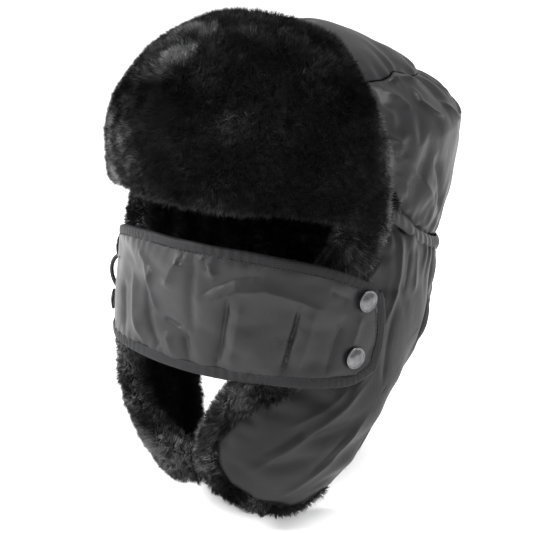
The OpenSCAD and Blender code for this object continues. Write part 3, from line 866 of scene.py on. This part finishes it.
def brim_painted_sheen(root):
    """Lightness of the brim fur, with painted sheen: grey patches where the light catches the pile on the
    wearer's right, and lighter bands along the edges.
    """
    t = np.degrees(np.arctan2(root[:, 0], -root[:, 1]))
    # Painted sheen: light patches at the lower and upper right of the flap, and lighter bands at the left
    # edge and the top
    low_patch = np.exp(-((t + 29) / 10) ** 2 - ((root[:, 2] - 20) / 26) ** 2)
    high_patch = np.exp(-((t + 15) / 13) ** 2 - ((root[:, 2] - 72) / 12) ** 2)
    right = np.clip(low_patch + 0.8 * high_patch + 0.6 * np.clip((-t - 34) / 20, 0, 1), 0, 1)
    left_edge = np.clip((t - 52) / 7, 0, 1)
    top = np.clip((root[:, 2] - 74) / 14, 0, 1)
    patch = waves(root, 42, 301) + 0.7 * waves(root, 17, 302)
    edges = 2.1 * left_edge + top * (0.8 + 0.6 * patch)
    return -0.75 + right * (2.5 + 1.1 * patch) + edges + 0.2 * patch


# ---------- ear flaps ----------

# Folds of an ear flap: points as t and level, then height and half width in mm
FLAP_FOLDS = [
    ([(16, -163), (39, -139), (58, -122), (70, -107)], 1.7, 3.6),
    ([(31, -183), (55, -157), (71, -132)], 1.5, 3.6),
    ([(32, -131), (51, -120), (59, -111)], 1.0, 2.6),
    ([(22, -150), (42, -130)], -1.1, 3.0),
    ([(44, -165), (62, -140)], -1.1, 3.4),
    ([(78, -30), (78, -64), (72, -84)], 1.3, 2.4),
    ([(87, -42), (87, -72)], 1.1, 2.0),
    ([(83, -40), (82, -66)], -1.0, 1.8),
    ([(71, -40), (61, -58)], 0.9, 2.4),
    ([(99, -50), (99, -84), (87, -113)], -1.6, 2.2),
    ([(103, -54), (104, -82), (94, -108)], 1.3, 2.8),
    ([(78, -72), (75, -95), (74, -118)], -1.1, 2.4),
    ([(70, -80), (67, -104), (60, -116)], 1.0, 3.0),
]


def flap_relief(p, t, z, u, v):
    """The drawn folds, gathers under the hem band, and the rounding at the sewn edges."""
    total = 0.4 * waves(p, 40, 75)
    for points, depth, width in FLAP_FOLDS:
        total = total + stroke(t * FLAP_ARC, z, [(a * FLAP_ARC, b) for a, b in points], depth, width)
    edge = np.minimum(np.minimum(u, 1 - u) * 9, np.minimum(v * 9, (1 - v) * 12))
    round_edge = 1 - np.exp(-np.maximum(edge, 0) * 1.6)
    gather = 0.9 * np.sin(t * 1.05 + 2 * waves(p, 34, 74)) * np.exp(-v / 0.11)
    return total * round_edge + gather - 1.6 * (1 - round_edge)


def flap_cover(side_name, sign, nodes):
    """The quilted nylon of an ear flap."""
    u, v = grid_of(np.linspace(0, 1, 54), np.linspace(0, 1, 84))
    flat = flap(u, v, 0, sign, nylon=True)
    puff = sewn_cloth(f"{side_name}_flap_sim", flat, held_edges(*u.shape), 0.04, 0.5, 3.2)
    u, v = grid_of(np.linspace(0, 1, 170), np.linspace(0, 1, 240))
    t, z = flap_plan(u, v, sign, True)
    relief = finer(puff, *u.shape) + flap_relief(flap(u, v, 0, sign, nylon=True), t, z, u, v)
    outer = flap(u, v, 0.2 + relief, sign, nylon=True)
    inner = flap(u, v, np.minimum(relief, 0) - shell - 2.4, sign, nylon=True)
    points, faces = thick_sheet(outer, inner)
    cover = mesh_piece(f"{side_name}_flap_nylon", points, outward_faces(points, faces), [flap_nylon_painted_shade])
    layers = [f"{n}_{part}" for part in ("shell", "batting") for n in nodes]
    return finish(cover, layers)


def flap_plush(side_name, sign, nodes):
    """The plush lining of an ear flap, with its pile."""
    x, y = grid_of(rim_spacing(110), rim_spacing(130))
    u, v, full = (x + 1) / 2, (y + 1) / 2, rim(x, y)
    lump = 0.6 * waves(flap(u, v, 0, sign), 22, 81)
    outer = flap(u, v, -6.4 + 1.2 * full, sign)
    points, faces = pillow(outer, flap(u, v, -6.4 - (3.6 + lump) * full, sign))
    faces = outward_faces(points, faces)
    lining = mesh_piece(f"{side_name}_flap_lining", points, faces, [lining_skin])
    pieces = [finish(lining, [f"{n}_fur" for n in nodes])]
    for i in range(2):
        pile = fur(f"{side_name}_flap_pile_{i + 1}", points, faces, 40000, 5.8, 0.6,
                   90 + 7 * i + 20 * (sign > 0), keep=~first_half(faces), grey=-0.2)
        pieces.append(finish(pile))
    return pieces


def flap_trim(side_name, sign, nodes):
    """The turned plush edge of an ear flap, with its pile."""
    points, faces = trim_roll() if sign > 0 else trim_patch()
    faces = outward_faces(points, faces)
    roll = mesh_piece(f"{side_name}_flap_trim", points, faces, [skin_cloth])
    finish(roll, [f"{n}_fur_edge" for n in nodes])
    # Painted light: the right flap's trim hairs are lighter (0.8 against 0.45), standing for its edge
    # catching the lamp
    pile = fur(f"{side_name}_flap_trim_pile", points, faces, 48000, 4.6, 0.55, 120 + 20 * (sign > 0),
               lean=0.75, grey=0.45 if sign > 0 else 0.8)
    return [roll, finish(pile)]


def ear_flap(side_name, sign):
    """One ear flap from the hem to the chin."""
    nodes = [f"{side_name}_{part}" for part in ("flap", "end")]
    cover = flap_cover(side_name, sign, nodes)
    for piece in [cover, *flap_plush(side_name, sign, nodes), *flap_trim(side_name, sign, nodes)]:
        bend_at_fold(piece)


def trim_patch():
    """The plush that wraps the whole front of the right flap, down to its narrow tip."""
    x, y = grid_of(rim_spacing(80), rim_spacing(190))
    u, v, full = (x + 1) / 2, (y + 1) / 2, rim(x, y, x_power=6)
    z_front = mix(-5, -176, v)
    front = front_t[-1](z_front)
    t = mix(front, front + trim_t[-1](z_front), u)
    z = mix(hem_z(62) - 1, bottom_z[-1](62 * u), v)
    lump = 0.6 * waves(on_flap(t, z, 0, -1), 14, 84)
    return pillow(on_flap(t, z, -5 + (7 + lump) * full, -1), on_flap(t, z, -5 - 3.5 * full, -1))


def trim_roll():
    """The left flap's plush edge: a soft roll down the front edge, round the tip and along the bottom."""
    z = np.linspace(-4, -166, 150)
    width = trim_t[1](z) * 1.75 / 2
    front = np.stack([front_t[1](z) + width / 1.75, z, width], -1)
    t = np.linspace(8, 58, 60)
    rise = np.maximum(trim_rise(t) / 2 + 2.0, 1.2) * np.clip((60 - t) / 20, 0.15, 1)
    low_part = np.stack([t, bottom_z[1](t) + rise, rise + 1.0], -1)
    plan = np.concatenate([front, low_part])
    for _ in range(12):
        plan[1:-1] = 0.5 * plan[1:-1] + 0.25 * (plan[:-2] + plan[2:])
    t, z, width = plan.T
    centre = low(t, z, -3.6)
    outward = unit(low(t, z, 0) - low(t, z, -5))
    across = unit(np.cross(frames_along(centre), outward))
    thick = np.minimum(4.6, 2.4 + width * 0.35)
    points, faces = tube(centre, across, outward, width, thick, steps=28, square=2.6)
    points = points + 0.5 * waves(points, 14, 83)[:, None] * np.array([1, 1, 0.3])
    points[:, 0] = np.maximum(points[:, 0], 0.8)
    return points, faces


def bend_at_fold(piece):
    """Bakes the piece's placement into its mesh."""
    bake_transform(piece)


# ---------- neck guard ----------

def neck_guard():
    """The neck guard at the back: gathered quilted nylon over a plush lining."""
    u, v = grid_of(np.linspace(0, 1, 130), np.linspace(0, 1, 24))
    puff = sewn_cloth("neck_sim", neck(u, v, 0, band - 1), held_edges(*u.shape), 0.05, 0.5, 3.0)
    u, v = grid_of(np.linspace(0, 1, 360), np.linspace(0, 1, 56))
    base = neck(u, v, 0, band - 1)
    gather = 0.9 * np.sin(u * 120 + 2.4 * waves(base, 40, 131)) * mix(1, 0.3, v)
    edge = 1 - np.exp(-np.minimum(1 - v, 0.6 + v) * 14)
    relief = (finer(puff, *u.shape) + gather) * edge - 1.4 * (1 - edge)
    inner = neck(u, v, np.minimum(relief, 0) - 3.6, band - 1)
    points, faces = thick_sheet(neck(u, v, 0.2 + relief, band - 1), inner)
    cover = mesh_piece("neck_nylon", points, outward_faces(points, faces), [nylon])
    finish(cover, ["neck_guard_shell", "neck_guard_batting"], "crown")
    x, y = grid_of(rim_spacing(140), rim_spacing(40))
    u, v, full = (x + 1) / 2, (y + 1) / 2, rim(x, y, x_power=10)
    lump = 0.6 * waves(neck(u, v, 0, 2), 22, 134)
    points, faces = pillow(neck(u, v, -6.2 + full, 2), neck(u, v, -6.2 - (3.8 + lump) * full, 2))
    faces = outward_faces(points, faces)
    skin = mesh_piece("neck_lining", points, faces, [skin_cloth])
    finish(skin, ["neck_guard_fur"], "crown")
    pile = fur("neck_pile", points, faces, 42000, 5.6, 0.6, 136, grey=-0.6)
    finish(pile, body="crown")


# ---------- face mask ----------

# Folds of the mask: points in mm round the face and level, then height and half width in mm
MASK_FOLDS = [
    ([(1, -31), (1, -42), (0, -60), (0, -80)], -1.9, 1.5),
    ([(-1, -33), (-6, -39), (-10, -47), (-14, -58)], 2.3, 3.2),
    ([(3, -33), (9, -39), (13, -47)], 2.3, 3.0),
    ([(-3, -34), (-6, -42)], -1.8, 1.6),
    ([(6, -35), (9, -42)], -1.3, 1.6),
    ([(1, -59), (10, -51), (22, -45), (40, -41)], -1.7, 2.8),
    ([(2, -67), (10, -59), (24, -52), (40, -50), (58, -55), (80, -62)], 2.1, 3.8),
    ([(19, -54), (15, -74), (9, -103)], -3.1, 2.3),
    ([(27, -54), (22, -78), (16, -102)], 1.8, 4.6),
    ([(-15, -76), (-3, -80)], -1.2, 1.4),
    ([(-3, -80), (-1, -94), (0, -106)], -2.3, 1.5),
    ([(-13, -84), (-9, -94), (-5, -104)], 1.4, 3.0),
    ([(-28, -48), (-26, -62), (-18, -76)], 1.5, 2.8),
    ([(-34, -58), (-27, -78), (-13, -101)], -1.7, 2.6),
    ([(-50, -56), (-40, -80), (-25, -101)], 1.7, 4.0),
    ([(-62, -66), (-49, -96)], -1.4, 3.0),
    ([(-42, -40), (-32, -48), (-25, -62)], 1.2, 3.8),
    ([(63, -56), (58, -74), (49, -101)], -2.7, 2.5),
    ([(72, -58), (67, -76), (59, -99)], 1.5, 4.4),
    ([(80, -50), (96, -58)], -1.1, 2.4),
    ([(93, -66), (85, -82), (79, -101)], -1.4, 3.0),
    ([(104, -68), (97, -88)], 1.1, 3.2),
]


def mask_relief(t, z, p):
    """Height of the mask's drawn folds, and the puckers along its tapes."""
    a = t * MASK_ARC
    total = 0.5 * waves(p, 40, 141)
    for points, depth, width in MASK_FOLDS:
        total = total + stroke(a, z, points, depth, width)
    edge = np.minimum(mask_top(np.abs(t)) - z, z - mask_low(np.abs(t)))
    near = np.exp(-np.maximum(edge - tape, 0) / 4)
    pucker = 0.22 * np.sin(a * 0.8 + 3 * waves(p, 34, 144)) * near * np.clip(0.5 + waves(p, 50, 145), 0, 1)
    return total * (1 - 0.7 * near) + pucker


def face_mask():
    """The mask's shell and lining, bound by four tapes."""
    def panel(rows, cols):
        t, s = grid_of(np.linspace(-66.5, 66.5, cols), np.linspace(0, 1, rows))
        return t, mix(mask_top(np.abs(t)) - 3, mask_low(np.abs(t)) + 3, s)

    t, z = panel(40, 130)
    puff = sewn_cloth("mask_sim", mask_at(t, z, 0), held_edges(*t.shape), 0.012, 0.2, 1.6)
    t, z = panel(104, 430)
    relief = 0.7 * finer(puff, *t.shape) + mask_relief(t, z, mask_at(t, z, 0))
    outer = mask_at(t, z, mask_out - 0.5 + relief)
    points, faces = thick_sheet(outer, mask_at(t, z, mask_out - 1.3 + relief))
    cover = mesh_piece("mask_shell", points, outward_faces(points, faces), [mask_nylon])
    finish(cover, ["mask_outer_shell"], body="mask")
    sunk = np.minimum(relief, 0.5 * relief)
    points, faces = thick_sheet(mask_at(t, z, mask_in + 1.2 + sunk), mask_at(t, z, mask_in + 0.2 + sunk))
    inside = mesh_piece("mask_lining_cloth", points, outward_faces(points, faces), [knit_cloth])
    finish(inside, ["mask_inner_lining"], body="mask")
    mask_tapes()


def mask_tape(name, node, t, z, ribs=0.0):
    """One tape along the edge of the mask."""
    centre = mask_at(t, z, tape_offset + ribs)
    outward = unit(mask_at(t, z, 8) - mask_at(t, z, 4))
    across = unit(np.cross(frames_along(centre), outward))
    points, faces = tube(centre, across, outward, tape / 2, tape_depth, steps=20, square=3.2)
    piece = mesh_piece(name, points, outward_faces(points, faces), [tape_cloth])
    return finish(piece, [node], body="mask")


def mask_tapes():
    """The top and bottom tapes, and the tapes round the two ends between them."""
    t = np.linspace(-67, 67, 420)
    a = t * MASK_ARC
    ribs = 0.16 * np.sin(a * 1.3 + 1.6 * np.sin(a * 0.13)) * np.sin(a * 0.045 + 0.6) ** 2
    tapes = [
        mask_tape("mask_binding_top", "mask_top_binding", t, mask_top(np.abs(t)) - tape / 2, ribs),
        mask_tape("mask_binding_bottom", "mask_bottom_binding", t, mask_low(np.abs(t)) + tape / 2, ribs),
    ]
    s = np.linspace(0, 1, 90)
    z = mix(mask_top(65.0) - 2, mask_low(65.0) + 2, s)
    for name, node, sign in (("mask_binding_left", "mask_left_binding", 1),
                             ("mask_binding_right", "mask_right_binding", -1)):
        tapes.append(mask_tape(name, node, sign * mask_end(s), z))
    return tapes


def mask_end(s):
    """How far round the tape at an end of the mask runs, with s from 0 at its top to 1 at its bottom."""
    return 65.2 + 2.6 * np.sin(np.pi * s) ** 0.7


# ---------- sewing ----------

def stitches(name, t, z, offset, place, pitch):
    """A row of thread stitches along a line on a surface."""
    half_length, half_width = 1.0, 0.3
    line = place(t, z, offset)
    step = np.concatenate([[0], np.cumsum(np.linalg.norm(np.diff(line, axis=0), axis=1))])
    at = np.arange(pitch / 2, step[-1], pitch)
    centre = np.stack([np.interp(at, step, line[:, i]) for i in range(3)], -1)
    tangent = frames_along(centre)
    out = place(t, z, offset + 2) - line
    outward = unit(np.stack([np.interp(at, step, out[:, i]) for i in range(3)], -1))
    across = unit(np.cross(tangent, outward))
    ring = np.array([0.35, 0.9, 1.0, 0.9, 0.35])
    along = np.array([-1, -0.6, 0, 0.6, 1]) * half_length
    all_points, all_faces, shift = [], [], 0
    for c, a, b, o in zip(centre, tangent, across, outward):
        rail = c + along[:, None] * a
        half = half_width * ring
        points, faces = tube(rail, np.tile(b, (5, 1)), np.tile(o, (5, 1)), half, half, steps=6)
        all_points.append(points)
        all_faces.append(outward_faces(points, faces) + shift)
        shift += len(points)
    return mesh_piece(name, np.concatenate(all_points), np.concatenate(all_faces), [thread])


def sewing():
    """Lock stitches along the mask's tapes and the hem band."""
    t = np.linspace(-64, 64, 500)
    top, bottom = mask_top(np.abs(t)) - tape + 1.4, mask_low(np.abs(t)) + tape - 1.4
    for name, level in (("mask_stitches_top", top), ("mask_stitches_bottom", bottom)):
        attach(stitches(name, t, level, 8.1, mask_at, 2.6), "mask")
    z = np.linspace(-66, -96, 90)
    for name, sign in (("mask_stitches_left", 1), ("mask_stitches_right", -1)):
        turn = mask_end((z + 66) / -30) - 1.3
        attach(stitches(name, sign * turn, z, 8.1, mask_at, 2.6), "mask")
    t = np.linspace(66, 294, 900)
    for name, drop in (("hem_stitches_upper", 1.6), ("hem_stitches_lower", band - 1.6)):
        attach(stitches(name, t, hem_z(side(t)) - drop, 1.9, low, 3.2), "crown")


# ---------- press studs and loops ----------

# Places of the press studs at each end of the mask, as t and level
SNAP_SPOTS = [(61, -60), (57.5, -91)]
# Half section of a stud cap in mm: distance from its axis, and height
CAP_PROFILE = np.array([
    (0.01, 0.3), (5.6, 0.3), (6.1, 0.35), (6.35, 0.7), (6.2, 1.1), (5.8, 1.25), (5.45, 1.1),
    (5.2, 1.0), (4.9, 1.15), (4.2, 1.65), (3.2, 2.15), (2.1, 2.45), (1.0, 2.58), (0.01, 2.6),
])


def press_stud_caps():
    """Four domed caps with a rolled rim, turned round their own axes."""
    a = np.linspace(0, 2 * math.pi, 56, endpoint=False)
    points, faces, shift = [], [], 0
    for sign in (1, -1):
        for t, z in SNAP_SPOTS:
            base = low(sign * t, z, mask_out + 0.4)
            turn = low(sign * t + 2, z, 0) - low(sign * t - 2, z, 0)
            flat = unit(turn * np.array([1, 1, 0]))
            outward = np.array([flat[1], -flat[0], 0])
            up = np.array([0, 0, 1.0])
            rings = (base + CAP_PROFILE[:, None, 1:] * outward
                     + CAP_PROFILE[:, None, :1] * (np.cos(a)[:, None] * flat + np.sin(a)[:, None] * up))
            index = np.arange(len(CAP_PROFILE) * len(a)).reshape(len(CAP_PROFILE), len(a))
            index = np.concatenate([index, index[:, :1]], 1)
            faces.append(outward_faces(rings.reshape(-1, 3) - base, quads(index)) + shift)
            points.append(rings.reshape(-1, 3))
            shift += index[:, :-1].size
    piece = mesh_piece("press_stud_caps", np.concatenate(points), np.concatenate(faces), [gunmetal])
    finish(piece, ["snap_caps"], body="mask")


def loop_curve(name, points, body, node):
    """A round elastic cord along its route."""
    curve = bpy.data.curves.new(name, "CURVE")
    curve.dimensions = "3D"
    curve.bevel_depth = loop_cord / 2 * MM
    curve.bevel_resolution = 4
    curve.use_fill_caps = True
    spline = curve.splines.new("POLY")
    spline.points.add(len(points) - 1)
    for point, place in zip(spline.points, points * MM):
        point.co = (*place, 1)
    curve.materials.append(elastic_cloth)
    piece = bpy.data.objects.new(name, curve)
    bpy.context.scene.collection.objects.link(piece)
    finish(piece, [node], body=body)


def ear_loops():
    """The free loop at the mask's right end, and the loop tucked behind its left end."""
    a = np.radians(np.arange(-90, 91, 6))
    end = mask_at(mask_angle, loop_level, (mask_in + mask_out) / 2)
    x = -(end[0] + loop_reach * np.cos(a))
    right = np.stack([x, end[1] + 2.8 + 4 * np.cos(a), loop_level + loop_rise * np.sin(a)], -1)
    left = low(64.6 - 13 * np.cos(a), -76 + 7.5 * np.sin(a), 2.15)
    loop_curve("ear_loop_free", right, "right_loop", "ear_loop_right")
    loop_curve("ear_loop_tucked", left, "mask", "ear_loop_left")


# ---------- kept CAD nodes ----------

def finish_kept_nodes():
    """Materials of the CAD nodes that stay visible."""
    for node, material in (("snap_sockets", gunmetal), ("snap_studs", gunmetal),
                           ("chin_hook_patch", hook_cloth), ("chin_loop_patch", hook_cloth)):
        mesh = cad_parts[node].data
        mesh.materials.clear()
        mesh.materials.append(material)


# ---------- stage ----------

def camera():
    """The viewing angle of the product picture: round to the wearer's left and a little up."""
    turn, rise, roll = (math.radians(a) for a in (30, 20, 1.2))
    distance = 0.85
    back = Vector((math.sin(turn) * math.cos(rise), -math.cos(turn) * math.cos(rise), math.sin(rise)))
    right = Vector((math.cos(turn), math.sin(turn), 0))
    up = back.cross(right)
    across = math.cos(roll) * right + math.sin(roll) * up
    over = math.cos(roll) * up - math.sin(roll) * right
    target = Vector((-13, -7, -76)) * MM
    data = bpy.data.cameras.new("camera")
    data.lens = 93
    data.sensor_width = 36
    holder = bpy.data.objects.new("camera", data)
    holder.matrix_world = Matrix((
        (across.x, over.x, back.x, 0),
        (across.y, over.y, back.y, 0),
        (across.z, over.z, back.z, 0),
        (0, 0, 0, 1),
    ))
    holder.location = target + back * distance
    bpy.context.scene.collection.objects.link(holder)
    bpy.context.scene.camera = holder


def area_light(name, place, target, size, power_w):
    data = bpy.data.lights.new(name, "AREA")
    data.size = size
    data.energy = power_w
    lamp = bpy.data.objects.new(name, data)
    lamp.location = place
    lamp.rotation_euler = (Vector(target) - Vector(place)).to_track_quat("-Z", "Y").to_euler()
    bpy.context.scene.collection.objects.link(lamp)


def studio():
    """A white sweep with soft light from the upper left, as in a plain product picture."""
    bpy.context.scene.view_settings.view_transform = "Standard"
    floor_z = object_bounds()[0].z - 0.0005
    mesh = bpy.data.meshes.new("floor")
    r = 6.0
    corners = [(-r, -r, floor_z), (r, -r, floor_z), (r, r, floor_z), (-r, r, floor_z)]
    mesh.from_pydata(corners, [], [(0, 1, 2, 3)])
    floor = bpy.data.objects.new("floor", mesh)
    material, shader = new_material("floor_white", roughness=1.0, emission_strength=0.3)
    shader.inputs["Base Color"].default_value = (0.95, 0.95, 0.95, 1)
    shader.inputs["Emission Color"].default_value = (1, 1, 1, 1)
    mesh.materials.append(material)
    bpy.context.scene.collection.objects.link(floor)
    floor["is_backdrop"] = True
    world = bpy.data.worlds.new("studio")
    world.use_nodes = True
    world.node_tree.nodes["Background"].inputs["Color"].default_value = (1, 1, 1, 1)
    world.node_tree.nodes["Background"].inputs["Strength"].default_value = 0.75
    bpy.context.scene.world = world
    area_light("key", (-1.2, -0.9, 0.8), (0, 0, -0.06), 0.5, 44)
    area_light("top", (0.5, 0.1, 1.3), (0, 0, 0), 0.6, 17)


# ---------- build ----------

camera()
ear_loops()
crown_side("crown_left", "crown_left_panel", 0)
crown_side("crown_right", "crown_right_panel", 180)
crown_cap()
crown_plush()
elastic_band()
hem_band()
brim_flap()
ear_flap("left", 1)
ear_flap("right", -1)
neck_guard()
face_mask()
sewing()
press_stud_caps()
finish_kept_nodes()
studio()

bpy.context.view_layer.update()
